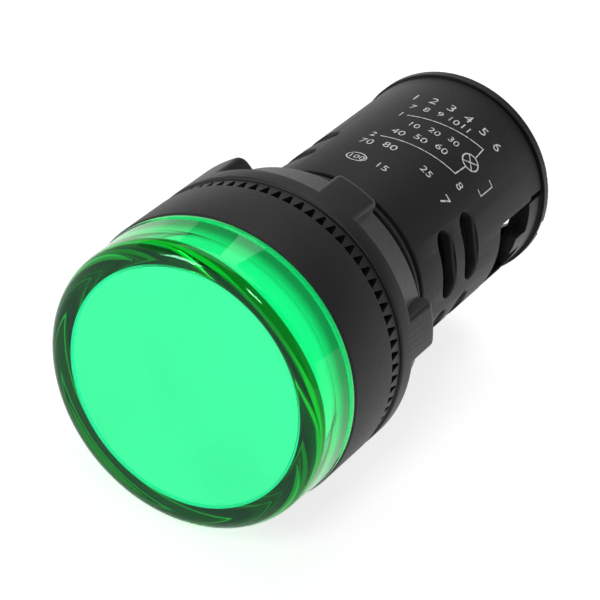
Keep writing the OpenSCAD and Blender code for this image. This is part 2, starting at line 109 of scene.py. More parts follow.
def tint(base: Colour, gain: float, lift: float = 0.0) -> Colour:
    """Multiplies a linear colour and adds to it, up to full."""
    return tuple(min(1.0, c * gain + lift) for c in base[:3]) + (1.0,)


class Nodes:
    """A node tree, and short ways to add nodes to it."""

    def __init__(self, tree: bpy.types.NodeTree) -> None:
        """Takes the tree of a material, a world or a Geometry Nodes group, and clears it."""
        self.tree = tree
        tree.nodes.clear()

    def add(self, kind: str, settings: dict | None = None, links: dict | None = None) -> bpy.types.Node:
        """Adds a node with its settings and its incoming links.

        Args:
            kind: the node's type name.
            settings: values by input name, input number or attribute name.
            links: the sockets that feed inputs, by input name or number.

        Returns:
            The new node.
        """
        node = self.tree.nodes.new(kind)
        known = node.bl_rna.properties.keys()
        for name, value in sorted((settings or {}).items(), key=lambda item: item[0] not in known):
            if name in known:
                setattr(node, name, value)
            else:
                node.inputs[name].default_value = value
        for name, source in (links or {}).items():
            self.tree.links.new(source, node.inputs[name])
        return node

    def get(self, output: str | int, kind: str, settings: dict | None = None, links: dict | None = None) -> Socket:
        """Adds a node, as add does, and returns one of its outputs."""
        return self.add(kind, settings, links).outputs[output]

    def math(self, way: str, a: Socket | float, b: Socket | float) -> Socket:
        """Works one number out of two, each of which is a socket or a plain number."""
        fixed = {i: v for i, v in enumerate((a, b)) if isinstance(v, (int, float))}
        fed = {i: v for i, v in enumerate((a, b)) if i not in fixed}
        return self.get("Value", "ShaderNodeMath", {"operation": way, **fixed}, fed)

    def vector(self, **axes: Socket) -> Socket:
        """Joins numbers into a vector, by the axes X, Y and Z."""
        return self.get("Vector", "ShaderNodeCombineXYZ", links=axes)


class Paint(Nodes):
    """The node tree of one material, with patterns measured in mm over the piece itself."""

    def __init__(self, name: str) -> None:
        """Makes an empty node material of this name."""
        self.material = bpy.data.materials.new(name)
        self.material.use_nodes = True
        super().__init__(self.material.node_tree)

    @cached_property
    def place(self) -> Socket:
        """The piece's own coordinates."""
        return self.get("Object", "ShaderNodeTexCoord")

    def noise(self, size_mm: float, detail: float = 2.0, place: Socket | None = None, **more: float) -> Socket:
        """Adds a noise by the size of its spots; place stands in for the piece's own coordinates."""
        settings = {"Scale": 1 / (size_mm * MM), "Detail": detail, **more}
        return self.get("Fac", "ShaderNodeTexNoise", settings, {"Vector": self.place if place is None else place})

    def map(self, source: Socket, from_low: float, from_high: float, low: float, high: float) -> Socket:
        """Maps one range of a number on to another, and stops at its ends."""
        ends = {"From Min": from_low, "From Max": from_high, "To Min": low, "To Max": high}
        return self.get("Result", "ShaderNodeMapRange", ends, {"Value": source})

    def spread(self, noise: Socket, low: float, high: float) -> Socket:
        """Spreads a noise over a range."""
        return self.map(noise, NOISE_LOW, NOISE_HIGH, low, high)

    def ramp(self, source: Socket, stops: list[tuple[float, Colour]]) -> Socket:
        """Adds a Color Ramp with a position and a linear colour for each stop, from low to high."""
        node = self.add("ShaderNodeValToRGB", links={"Fac": source})
        elements = node.color_ramp.elements
        while len(elements) < len(stops):
            elements.new(0.5)
        for element, (position, colour) in zip(elements, stops):
            element.position = position
            element.color = colour
        return node.outputs["Color"]

    def mix(self, settings: dict, links: dict) -> Socket:
        """Mixes two colours, at inputs 6 and 7."""
        return self.get(2, "ShaderNodeMix", {"data_type": "RGBA", **settings}, links)

    def soft_edges(self, radius_mm: float) -> Socket:
        """Gives the normal of the piece with its edges rounded."""
        return self.get("Normal", "ShaderNodeBevel", {"samples": 4, "Radius": radius_mm * MM})

    def relief(self, height: Socket, depth_mm: float, strength: float, **normal: Socket) -> Socket:
        """Gives the normal of a surface with a pattern raised on it; Normal is the one below it."""
        settings = {"Strength": strength, "Distance": depth_mm * MM}
        return self.get("Normal", "ShaderNodeBump", settings, {"Height": height, **normal})

    def end(self, **ends: Socket) -> Material:
        """Adds the output with its Surface and Volume, and returns the material."""
        self.add("ShaderNodeOutputMaterial", links=ends)
        return self.material

    def coat(self, settings: dict, links: dict, **inside: Socket) -> Material:
        """Ends the tree with a Principled shader as its Surface, and returns the material."""
        return self.end(Surface=self.get("BSDF", "ShaderNodeBsdfPrincipled", settings, links), **inside)


# ---- finishes


@dataclass(frozen=True)
class Coat:
    """A finish, by its real material and process; each kind builds its own node material."""

    name: str

    def material(self) -> Material:
        """Builds the node material."""
        raise NotImplementedError


@dataclass(frozen=True)
class MouldedPlastic(Coat):
    """Injection-moulded plastic from a spark-eroded tool: matt, with a fine grain, softly broken edges and a
    painted highlight along them.
    """

    colour: str
    roughness: float = 0.5
    grain_mm: float = 0.2
    grain_depth_mm: float = 0.02
    edge_mm: float = 0.12
    # painted highlight along the edges: how far it lifts the colour, where the normal's turn starts and ends it,
    # and its lighter tint
    painted_highlight_lift: float = 0.5
    painted_highlight_turn: Point = (0.999, 0.86)
    painted_highlight_gain: Point = (2.2, 0.02)
    flow_mm: float = 4.5
    mottle: float = 0.12
    specular: float = 0.32
    ior: float = 1.53

    def material(self) -> Material:
        """Builds the node material: mottled colour, edges painted lighter as a painted highlight, and grain in
        gloss and relief.
        """
        paint = Paint(self.name)
        grain = paint.noise(self.grain_mm, Roughness=0.6)
        flow = paint.noise(self.flow_mm, 3.0, Distortion=0.6)
        soft = paint.soft_edges(self.edge_mm)
        # painted highlight: where the rounded normal turns away from the true one, along the edges, the colour is
        # lifted lighter
        true = paint.get("Normal", "ShaderNodeNewGeometry")
        turn = paint.get("Value", "ShaderNodeVectorMath", {"operation": "DOT_PRODUCT"}, {0: soft, 1: true})
        edge = paint.map(turn, *self.painted_highlight_turn, 0.0, self.painted_highlight_lift)
        base = linear(self.colour)
        tone = paint.ramp(flow, [(0.35, tint(base, 1 - self.mottle)), (0.65, tint(base, 1 + self.mottle))])
        speck = paint.mix({"blend_type": "OVERLAY", "Factor": 0.25}, {6: tone, 7: grain})
        # mixes the lighter tint in along the edges, as a painted highlight
        colour = paint.mix({7: tint(base, *self.painted_highlight_gain)}, {"Factor": edge, 6: speck})
        rough = paint.spread(grain, self.roughness - 0.05, self.roughness + 0.06)
        normal = paint.relief(grain, self.grain_depth_mm, 0.6, Normal=soft)
        settings = {"IOR": self.ior, "Specular IOR Level": self.specular}
        return paint.coat(settings, {"Base Color": colour, "Roughness": rough, "Normal": normal})


@dataclass(frozen=True)
class ClearPlastic(Coat):
    """Polished transparent plastic with dye in the mass, so that long paths through it turn dark."""

    dye_red: float
    dye_green: float
    dye_blue: float
    sheen: str = "9cffcc"
    ior: float = 1.49
    flow_mm: float = 2.4
    roughest: float = 0.02

    def material(self) -> Material:
        """Builds the node material: a smooth refracting surface round an absorbing inside."""
        paint = Paint(self.name)
        rough = paint.spread(paint.noise(self.flow_mm), 0.0, self.roughest)
        dyes = (self.dye_red, self.dye_green, self.dye_blue)
        passed = tuple(1 - dye / max(dyes) for dye in dyes) + (1.0,)
        inside = paint.get("Volume", "ShaderNodeVolumeAbsorption", {"Color": passed, "Density": max(dyes) / MM})
        return paint.coat(
            {"Base Color": WHITE, "Transmission Weight": 1.0, "IOR": self.ior, "Specular Tint": linear(self.sheen)},
            {"Roughness": rough}, Volume=inside,
        )


@dataclass(frozen=True)
class OpalPlastic(Coat):
    """Milky green diffuser, lit from behind by the lamp chips: even over the front, with painted shade that dims
    the front face a little and fades the glow towards its foot.
    """

    colour: str
    glow_colour: str
    glow: float
    front_mm: float
    rear_mm: float
    shares: tuple[Point, ...]
    cloud_mm: float = 9.0
    cloud_depth: float = 0.06

    def material(self) -> Material:
        """Builds the node material: a glow that changes along the depth as painted shade, and is slightly cloudy.
        """
        paint = Paint(self.name)
        depth = paint.get("Y", "ShaderNodeSeparateXYZ", links={"Vector": paint.place})
        along = paint.map(depth, self.front_mm * MM, self.rear_mm * MM, 0.0, 1.0)
        # painted shade: the glow is set by depth, a little dimmer over the front face and fading to about a quarter
        # towards the foot
        painted_shade_fade = paint.ramp(along, [(place, (share, share, share, 1.0)) for place, share in self.shares])
        cloud = paint.noise(self.cloud_mm)
        cloudy = paint.spread(cloud, self.glow * (1 - self.cloud_depth), self.glow * (1 + self.cloud_depth))
        colours = {"Base Color": linear(self.colour), "Emission Color": linear(self.glow_colour)}
        glow = paint.math("MULTIPLY", painted_shade_fade, cloudy)
        return paint.coat({"Roughness": 0.55, "IOR": 1.49, **colours}, {"Emission Strength": glow})


@dataclass(frozen=True)
class PlatedMetal(Coat):
    """Stamped or headed metal with a thin plating: bright, with fine lines from the tool and duller stains at
    random.
    """

    colour: str
    roughness: float = 0.28
    line_mm: float = 0.09
    line_stretch: float = 0.08
    stain_mm: float = 1.6
    edge_mm: float = 0.06

    def material(self) -> Material:
        """Builds the node material: stained colour, and drawn lines in gloss and relief."""
        paint = Paint(self.name)
        scale = {"Scale": (1.0, 1.0, self.line_stretch)}
        drawn = paint.get("Vector", "ShaderNodeMapping", scale, {"Vector": paint.place})
        lines = paint.noise(self.line_mm, place=drawn)
        base = linear(self.colour)
        tone = paint.ramp(paint.noise(self.stain_mm, 3.0), [(0.32, tint(base, 0.72)), (0.55, base)])
        rough = paint.spread(lines, self.roughness - 0.06, self.roughness + 0.1)
        normal = paint.relief(lines, 0.003, 0.4, Normal=paint.soft_edges(self.edge_mm))
        return paint.coat({"Metallic": 1.0}, {"Base Color": tone, "Roughness": rough, "Normal": normal})


@dataclass(frozen=True)
class CoatedBoard(Coat):
    """Glass-fibre laminate under a solder mask, through which the weave of the cloth shows as faint ribs."""

    colour: str
    roughness: float = 0.35
    weave_mm: float = 0.45

    def material(self) -> Material:
        """Builds the node material: two crossed waves, in colour and relief."""
        paint = Paint(self.name)
        wave = {"Scale": math.pi / 10 / (self.weave_mm * MM), "Distortion": 0.4}
        weave = paint.math("MULTIPLY", *(
            paint.get("Fac", "ShaderNodeTexWave", {"bands_direction": way, **wave}, {"Vector": paint.place})
            for way in ("X", "Y")
        ))
        base = linear(self.colour)
        tone = paint.ramp(weave, [(0.0, base), (1.0, tint(base, 1.25, 0.004))])
        normal = paint.relief(weave, 0.008, 0.5)
        return paint.coat({"Roughness": self.roughness, "IOR": 1.55}, {"Base Color": tone, "Normal": normal})


@dataclass(frozen=True)
class PrintedInk(Coat):
    """Pad-printed white ink: opaque, flat and slightly uneven where the pad left it thin."""

    colour: str
    thin_colour: str
    patch_mm: float = 0.35

    def material(self) -> Material:
        """Builds the node material: patches of thinner ink."""
        paint = Paint(self.name)
        stops = [(0.34, linear(self.thin_colour)), (0.52, linear(self.colour))]
        tone = paint.ramp(paint.noise(self.patch_mm, 3.0), stops)
        return paint.coat({"Roughness": 0.6, "IOR": 1.5}, {"Base Color": tone})


class Finish:
    """The finishes of this light, each made once and shared by the pieces that have it."""

    # Glass-filled nylon, spark-eroded tool: nearly black and matt, with a painted highlight only along its broken
    # edges.
    HOUSING = MouldedPlastic("black_nylon_moulded_housing", "101011", roughness=0.54)
    NUT = MouldedPlastic("black_nylon_moulded_nut", "131314", roughness=0.47, grain_mm=0.2, edge_mm=0.16)
    RING = MouldedPlastic("black_acetal_moulded_ring", "19191a", roughness=0.42, grain_mm=0.22, edge_mm=0.06)
    COVER = MouldedPlastic("black_nylon_moulded_cover", "101011", roughness=0.45, edge_mm=0.1)
    BLOCK = MouldedPlastic("black_phenolic_moulded_block", "1a1a1b", roughness=0.5, edge_mm=0.08)
    # Nitrile rubber, moulded: black, dull, without sharp edges.
    GASKET = MouldedPlastic("black_nitrile_rubber_moulded", "141414", roughness=0.75, edge_mm=0.2, painted_highlight_lift=0.1)
    # Polycarbonate with green dye, polished tool: clear and glossy, dark wherever light travels far in it.
    LENS = ClearPlastic("green_polycarbonate_polished", dye_red=1.7, dye_green=0.05, dye_blue=0.30)
    # Acrylic with green pigment and chalk: milky, and lit from behind, with painted shade in its glow at the front
    # face and towards the foot.
    DIFFUSER = OpalPlastic(
        "green_opal_acrylic_lit", "30a070", "9effbc", 1.03, front_mm=-12.0, rear_mm=-6.8,
        # shares of the glow by depth, which paint shade on the front face and the foot
        shares=((0.0, 0.76), (0.06, 0.8), (0.16, 1.0), (0.62, 1.0), (1.0, 0.26)),
    )
    # Laminates: black mask on the lamp board, green mask on the driver board.
    LAMP_BOARD = CoatedBoard("black_masked_glass_laminate", "161c18")
    DRIVER_BOARD = CoatedBoard("green_masked_glass_laminate", "14532c")
    CHIP = MouldedPlastic("white_ceramic_filled_chip_body", "dcdcd2", roughness=0.4, edge_mm=0.05, painted_highlight_lift=0.0)
    # Tinned copper pins, nickel-plated brass strips and clamps, zinc-plated steel screws.
    PIN = PlatedMetal("tinned_copper_wire", "d2d2cc", roughness=0.3)
    STRIP = PlatedMetal("nickel_plated_brass_stamped", "cfcabd", roughness=0.26)
    CLAMP = PlatedMetal("nickel_plated_steel_stamped", "d4d5d6", roughness=0.3)
    SCREW = PlatedMetal("zinc_plated_steel_headed", "c3c6ca", roughness=0.32)
    DROPPER = MouldedPlastic("ochre_polyester_case_moulded", "a8741c", roughness=0.35, edge_mm=0.3, painted_highlight_lift=0.1)
    SLEEVE = MouldedPlastic("navy_vinyl_shrink_sleeve", "1b2440", roughness=0.3, grain_depth_mm=0.004, edge_mm=0.3)
    EPOXY = MouldedPlastic("black_epoxy_moulded_package", "191919", roughness=0.55, edge_mm=0.08)
    RESISTOR = MouldedPlastic("blue_lacquered_resistor_body", "7fa7b8", roughness=0.3, edge_mm=0.3, painted_highlight_lift=0.0)
    INK = PrintedInk("white_pad_printed_ink", "e4e7e4", "9fa3a1")

    _made: dict[str, Material] = {}

    @classmethod
    def of(cls, finish: Coat) -> Material:
        """Returns the material of one of the finishes above, and builds it the first time."""
        if finish.name not in cls._made:
            cls._made[finish.name] = finish.material()
        return cls._made[finish.name]


# ---- mesh tools


def link(name: str, data: bpy.types.ID) -> Piece:
    """Makes an object of a mesh, curve, lamp or camera, and puts it in the scene."""
    made = bpy.data.objects.new(name, data)
    bpy.context.scene.collection.objects.link(made)
    return made


def dress(piece: Piece, finish: Coat) -> Piece:
    """Gives a piece one finish all over, and returns it."""
    piece.data.materials.clear()
    piece.data.materials.append(Finish.of(finish))
    return piece


def smooth(mesh: bpy.types.Mesh) -> None:
    """Shades a mesh smooth, and keeps its sharp edges."""
    mesh.shade_smooth()
    mesh.set_sharp_from_angle(angle=math.radians(SHARP_DEG))


def object_from(bm: BMesh, name: str) -> Piece:
    """Turns a bmesh into a smooth object of this name, and frees it."""
    mesh = bpy.data.meshes.new(name)
    bm.to_mesh(mesh)
    bm.free()
    smooth(mesh)
    return link(name, mesh)


def taken(pieces: list[Piece]) -> BMesh:
    """Reads the meshes of pieces into one bmesh, and removes the pieces."""
    bm = bmesh.new()
    for piece in pieces:
        bm.from_mesh(piece.data)
        bpy.data.objects.remove(piece)
    return bm


def turned(out: float, depth: float, across: float, angle_deg: float) -> Place:
    """Turns a point in mm, given out from the axis, along it and across, and returns it in metres."""
    turn = math.radians(angle_deg)
    c, s = math.cos(turn), math.sin(turn)
    return (out * c - across * s) * MM, depth * MM, (out * s + across * c) * MM


def rounded(corners: list[Place], steps: int = 6, closed: bool = True) -> list[Point]:
    """Rounds the corners of a polygon.

    Args:
        corners: x, y and radius of each corner; a radius of 0 keeps it sharp.
        steps: most segments in a rounded corner; small corners take fewer.
        closed: False for an open line, whose two ends stay as they are.

    Returns:
        The points of the rounded outline.
    """
    points: list[Point] = []
    count = len(corners)
    for i, (x, y, radius) in enumerate(corners):
        corner = Vector((x, y))
        if radius <= 0 or (not closed and i in (0, count - 1)):
            points.append((x, y))
            continue
        before = (Vector(corners[i - 1][:2]) - corner).normalized()
        after = (Vector(corners[(i + 1) % count][:2]) - corner).normalized()
        half = before.angle(after) / 2
        reach = radius / math.tan(half)
        centre = corner + (before + after).normalized() * (radius / math.sin(half))
        start = corner + before * reach - centre
        sweep = (corner + after * reach - centre).angle_signed(start)
        bends = max(3, min(steps, round(radius / FINEST_BEND)))
        for k in range(bends + 1):
            turn = sweep * k / bends
            c, s = math.cos(turn), math.sin(turn)
            points.append((centre.x + start.x * c - start.y * s, centre.y + start.x * s + start.y * c))
    return points


def revolve(name: str, outline: list[Point], segments: int = 256, closed: bool = True) -> Piece:
    """Turns an outline round the axis of the light.

    Args:
        name: name of the piece.
        outline: radius and depth of each point, in mm; a radius of 0 becomes a pole.
        segments: steps round the axis.
        closed: True joins the last point to the first.

    Returns:
        The turned body, as an object.
    """
    bm = bmesh.new()
    rings: list[list[bmesh.types.BMVert]] = []
    turns = [2 * math.pi * k / segments for k in range(segments)]
    for radius, depth in outline:
        r, y = radius * MM, depth * MM
        spots = [(r * math.cos(a), y, r * math.sin(a)) for a in turns] if radius else [(0, y, 0)]
        rings.append([bm.verts.new(spot) for spot in spots])
    pairs = list(zip(rings, rings[1:])) + ([(rings[-1], rings[0])] if closed else [])
    for a, b in pairs:
        for k in range(segments):
            n = (k + 1) % segments
            corners = [a[k % len(a)], a[n % len(a)], b[n % len(b)], b[k % len(b)]]
            corners = [v for i, v in enumerate(corners) if v not in corners[:i]]
            if len(corners) > 2:
                bm.faces.new(corners)
    bmesh.ops.recalc_face_normals(bm, faces=bm.faces)
    return object_from(bm, name)


def flared_cutter(name: str, outline: list[Point], layers: list[Point], angle_deg: float) -> Piece:
    """Builds a cutter for an opening in the barrel, whose mouth flares into a rounded lip.

    Args:
        name: name of the cutter.
        outline: tangential place and depth of each point, in mm, counter-clockwise.
        layers: radius and outward growth of the outline for each layer, from inside to outside, in mm.
        angle_deg: place of the opening round the axis, from +X towards +Z.

    Returns:
        The closed cutter, as an object.
    """
    count = len(outline)
    normals = []
    for i in range(count):
        along = Vector(outline[(i + 1) % count]) - Vector(outline[i - 1])
        normals.append(Vector((along.y, -along.x)).normalized())
    bm = bmesh.new()
    rings = []
    for radius, grow in layers:
        ring = []
        for (t, y), normal in zip(outline, normals):
            across, depth = t + normal.x * grow, y + normal.y * grow
            ring.append(bm.verts.new(turned(math.sqrt(radius**2 - across**2), depth, across, angle_deg)))
        rings.append(ring)
    for a, b in zip(rings, rings[1:]):
        for k in range(count):
            n = (k + 1) % count
            bm.faces.new([a[k], a[n], b[n], b[k]])
    caps = [bm.faces.new(rings[0]), bm.faces.new(rings[-1])]
    bmesh.ops.triangulate(bm, faces=caps, ngon_method="EAR_CLIP")
    bmesh.ops.recalc_face_normals(bm, faces=bm.faces)
    return object_from(bm, name)


def evaluated_copy(piece: Piece, name: str) -> Piece:
    """Turns a piece with its modifiers, or a text, into a plain mesh object, and removes the old one."""
    graph = bpy.context.evaluated_depsgraph_get()
    mesh = bpy.data.meshes.new_from_object(piece.evaluated_get(graph), depsgraph=graph)
    old = piece.data
    bpy.data.objects.remove(piece)
    bpy.data.batch_remove([old])
    mesh.name = name
    return link(name, mesh)


def carve(piece: Piece, bodies: list[Piece], way: Way) -> Piece:
    """Cuts closed bodies out of a piece, or welds them to it.

    Args:
        piece: the body that is changed.
        bodies: the bodies to cut away or weld on, which are removed.
        way: whether to cut or to weld.

    Returns:
        The finished piece.
    """
    for body in bodies:
        step = piece.modifiers.new("step", "BOOLEAN")
        step.operation, step.solver, step.object = way.value, "EXACT", body
    made = evaluated_copy(piece, piece.name)
    for body in bodies:
        bpy.data.objects.remove(body)
    smooth(made.data)
    return made


# ---- Geometry Nodes


class Pattern(Nodes):
    """A Geometry Nodes tree with named size inputs, and the way to turn it into a plain mesh."""

    def __init__(self, name: str, sizes: dict[str, float | int]) -> None:
        """Makes the tree with an input for each size: whole numbers are counts, the others lengths or turns."""
        super().__init__(bpy.data.node_groups.new(name, "GeometryNodeTree"))
        self.name, self.sizes = name, sizes
        sockets = self.tree.interface
        self.ids: dict[str, str] = {}
        for label, value in sizes.items():
            kind = "NodeSocketInt" if isinstance(value, int) else "NodeSocketFloat"
            self.ids[label] = sockets.new_socket(label, in_out="INPUT", socket_type=kind).identifier
        sockets.new_socket("Geometry", in_out="OUTPUT", socket_type="NodeSocketGeometry")
        self.given = self.add("NodeGroupInput").outputs

    def sum(self, *shapes: Socket) -> Socket:
        """Joins several geometries into one."""
        joined = self.add("GeometryNodeJoinGeometry")
        for shape in shapes:
            self.tree.links.new(shape, joined.inputs[0])
        return joined.outputs[0]

    def trapezium(self, bottom: Socket, top: Socket, height: Socket) -> Socket:
        """Draws a symmetrical trapezium."""
        links = {"Bottom Width": bottom, "Top Width": top, "Height": height}
        settings = {"mode": "TRAPEZOID", "Offset": 0.0}
        return self.get("Curve", "GeometryNodeCurvePrimitiveQuadrilateral", settings, links)

    def raised(self, outline: Socket, height: Socket) -> Socket:
        """Fills a flat outline and raises it into a closed body."""
        flat = self.get("Mesh", "GeometryNodeFillCurve", {"mode": "NGONS"}, {"Curve": outline})
        sides = {"Mesh": flat, "Offset Scale": height}
        up = self.get("Mesh", "GeometryNodeExtrudeMesh", {"Individual": False}, sides)
        return self.sum(up, self.get("Mesh", "GeometryNodeFlipFaces", links={"Mesh": flat}))

    def disc(self, outer: Socket, hole: Socket, height: Socket, steps: int) -> Socket:
        """Raises a flat ring into a closed body of a given height, with this many steps round it."""
        kind, settings = "GeometryNodeCurvePrimitiveCircle", {"Resolution": steps}
        rims = [self.get("Curve", kind, settings, {"Radius": radius}) for radius in (outer, hole)]
        return self.raised(self.sum(*rims), height)

    def moved(self, shape: Socket, turn: Place = (0.0, 0.0, 0.0), **axes: Socket) -> Socket:
        """Turns a geometry by angles in radians, and moves it along the axes X, Y and Z."""
        links = {"Geometry": shape, "Translation": self.vector(**axes)}
        return self.get("Geometry", "GeometryNodeTransform", {"Rotation": turn}, links)

    def make(self, shape: Socket, finish: Coat) -> Piece:
        """Ends the tree, runs it once and keeps its geometry as a plain mesh, with no modifier left on it."""
        real = self.get("Geometry", "GeometryNodeRealizeInstances", links={"Geometry": shape})
        settings = {"Material": Finish.of(finish)}
        dressed = self.get("Geometry", "GeometryNodeSetMaterial", settings, {"Geometry": real})
        self.add("NodeGroupOutput", links={0: dressed})
        carrier = link(self.name + "_rig", bpy.data.meshes.new(self.name + "_rig"))
        modifier = carrier.modifiers.new("pattern", "NODES")
        modifier.node_group = self.tree
        for label, value in self.sizes.items():
            modifier[self.ids[label]] = value
        made = evaluated_copy(carrier, self.name)
        bm = bmesh.new()
        bm.from_mesh(made.data)
        bmesh.ops.remove_doubles(bm, verts=bm.verts, dist=MERGE)
        bmesh.ops.recalc_face_normals(bm, faces=bm.faces)
        bm.to_mesh(made.data)
        bm.free()
        smooth(made.data)
        return dress(made, finish)


# ---- sub-assemblies


@dataclass
class Housing:
    """Head, threaded neck and barrel, moulded in one."""

    head_r: float = 14.5
    head_len: float = 6.8
    cup_r: float = 13.3
    cup_floor: float = -2.2
    neck_r: float = 11.0
    root_r: float = 10.34
    land_start: float = 8.85
    land_end: float = 10.9
    crest_start: float = 11.45
    crest_end: float = 11.85
    barrel_start: float = 13.1
    barrel_end: float = 38.5
    barrel_r: float = 10.65
    bore_r: float = 9.5
    gasket_in: float = 11.4
    gasket_out: float = 13.6
    gasket_depth: float = 0.9
    slot_pairs: int = 6
    slot_pitch: float = 47.0
    slot_rows: Point = (18.5, 23.05)
    slot_w: float = 2.4
    slot_len: float = 6.8
    lip: float = 0.22
    lip_steps: int = 5
    lip_rise: float = 0.004
    cut_in: float = 2.0
    cut_out: float = 3.0
    cut_past: float = 1.5
    window_half: float = 4.3
    window_start: float = 29.4
    window_wide: float = 4.6
    window_wide_start: float = 36.0
    window_slope: Point = (0.15, 0.2)
    undercut: float = 0.9
    flank: float = 0.12
    pitch: float = 1.5
    thread_start: float = 0.9
    thread_gap: float = 1.0
    ridge_foot: float = 1.12
    ridge_crest: float = 0.34
    ridge_lift: float = 0.46
    helix_steps: int = 160

    def section(self) -> list[Point]:
        """Returns the half section of the moulding; each corner has its radius, depth and rounding."""
        root, undercut_r = self.root_r, self.neck_r - self.undercut
        return rounded([
            (self.cup_r, -self.head_len, 0.1),
            (self.head_r, -self.head_len, 0.22),
            (self.head_r, 0.0, 0.2),
            (self.gasket_out, 0.0, 0.05),
            (self.gasket_out, -self.gasket_depth, 0.05),
            (self.gasket_in, -self.gasket_depth, 0.05),
            (self.gasket_in, 0.0, 0.05),
            (root, 0.0, 0.1),
            (root, self.land_start - self.flank, 0.04),
            (self.neck_r, self.land_start, 0.06),
            (self.neck_r, self.land_end, 0.06),
            (root, self.land_end + self.flank, 0.04),
            (root, self.crest_start - self.flank, 0.04),
            (self.neck_r, self.crest_start, 0.08),
            (self.neck_r, self.crest_end, 0.08),
            (undercut_r, self.crest_end + 0.1, 0.05),
            (undercut_r, self.barrel_start - 0.05, 0.05),
            (self.barrel_r, self.barrel_start, 0.18),
            (self.barrel_r, self.barrel_end, 0.2),
            (self.bore_r, self.barrel_end, 0.1),
            (self.bore_r, self.cup_floor, 0.1),
            (self.cup_r, self.cup_floor, 0.1),
        ], steps=5)

    def layers(self) -> list[Point]:
        """Returns the layers of an opening with a rounded lip, from inside to well outside."""
        curve = [math.radians(90 * k / self.lip_steps) for k in range(self.lip_steps + 1)]
        lip = [(self.barrel_r - self.lip * (1 - math.sin(a)), self.lip * (1 - math.cos(a))) for a in curve]
        lip[-1] = (self.barrel_r + self.lip_rise, self.lip)
        return [(self.bore_r - self.cut_in, 0.0)] + lip + [(self.barrel_r + self.cut_out, self.lip)]

    def slot_outline(self, depth: float) -> list[Point]:
        """Returns the outline of one vent slot at a depth."""
        reach, radius = self.slot_len / 2, self.slot_w / 2
        box = [(-reach, depth - radius), (reach, depth - radius), (reach, depth + radius), (-reach, depth + radius)]
        return rounded([(x, y, radius * 0.999) for x, y in box], steps=10)

    def window_outline(self) -> list[Point]:
        """Returns the outline of one wire window, which runs past the end of the barrel."""
        w, wide, end = self.window_half, self.window_wide, self.barrel_end + self.cut_past
        near, far = self.window_wide_start - self.window_slope[0], self.window_wide_start + self.window_slope[1]
        return rounded([
            (-w, self.window_start, 0.35), (w, self.window_start, 0.35), (w, near, 0.0), (wide, far, 0.0),
            (wide, end, 0.0), (-wide, end, 0.0), (-wide, far, 0.0), (-w, near, 0.0),
        ], steps=4)

    def thread(self) -> Piece:
        """Winds the thread of the neck with Geometry Nodes: a ridge with a flat crest, swept along a helix."""
        length = self.land_start - self.thread_start - self.thread_gap
        rig = Pattern("neck_thread", {
            "Turns": length / self.pitch, "Radius": self.root_r * MM, "Length": length * MM,
            "Start": self.thread_start * MM, "Height": (self.neck_r - self.root_r) * MM,
            "Foot": self.ridge_foot * MM, "Crest": self.ridge_crest * MM,
        })
        given = rig.given
        helix = rig.get("Curve", "GeometryNodeCurveSpiral", {"Resolution": self.helix_steps}, {
            "Rotations": given["Turns"], "Height": given["Length"],
            "Start Radius": given["Radius"], "End Radius": given["Radius"],
        })
        upright = rig.get("Curve", "GeometryNodeSetCurveNormal", {"mode": "Z_UP"}, {"Curve": helix})
        ridge = rig.trapezium(given["Foot"], given["Crest"], given["Height"])
        profile = rig.moved(ridge, (0.0, 0.0, QUARTER), X=rig.math("MULTIPLY", given["Height"], -self.ridge_lift))
        curves = {"Curve": upright, "Profile Curve": profile}
        swept = rig.get("Mesh", "GeometryNodeCurveToMesh", {"Fill Caps": True}, curves)
        return rig.make(rig.moved(swept, (-QUARTER, 0.0, 0.0), Y=given["Start"]), Finish.HOUSING)

    def build(self) -> list[Piece]:
        """Builds the moulding with its vent slots and wire windows, and its thread."""
        body = revolve("housing_moulding", self.section())
        layers = self.layers()
        cutters = []
        for pair in range(self.slot_pairs):
            angle = -90 + (pair - (self.slot_pairs - 1) / 2) * self.slot_pitch
            cutters += [flared_cutter("slot", self.slot_outline(depth), layers, angle) for depth in self.slot_rows]
        cutters += [flared_cutter("window", self.window_outline(), layers, side.value) for side in Side]
        body = dress(carve(body, cutters, Way.CUT), Finish.HOUSING)
        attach(body, "housing")
        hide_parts("housing")
        thread = self.thread()
        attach(thread, "housing")
        return [body, thread]


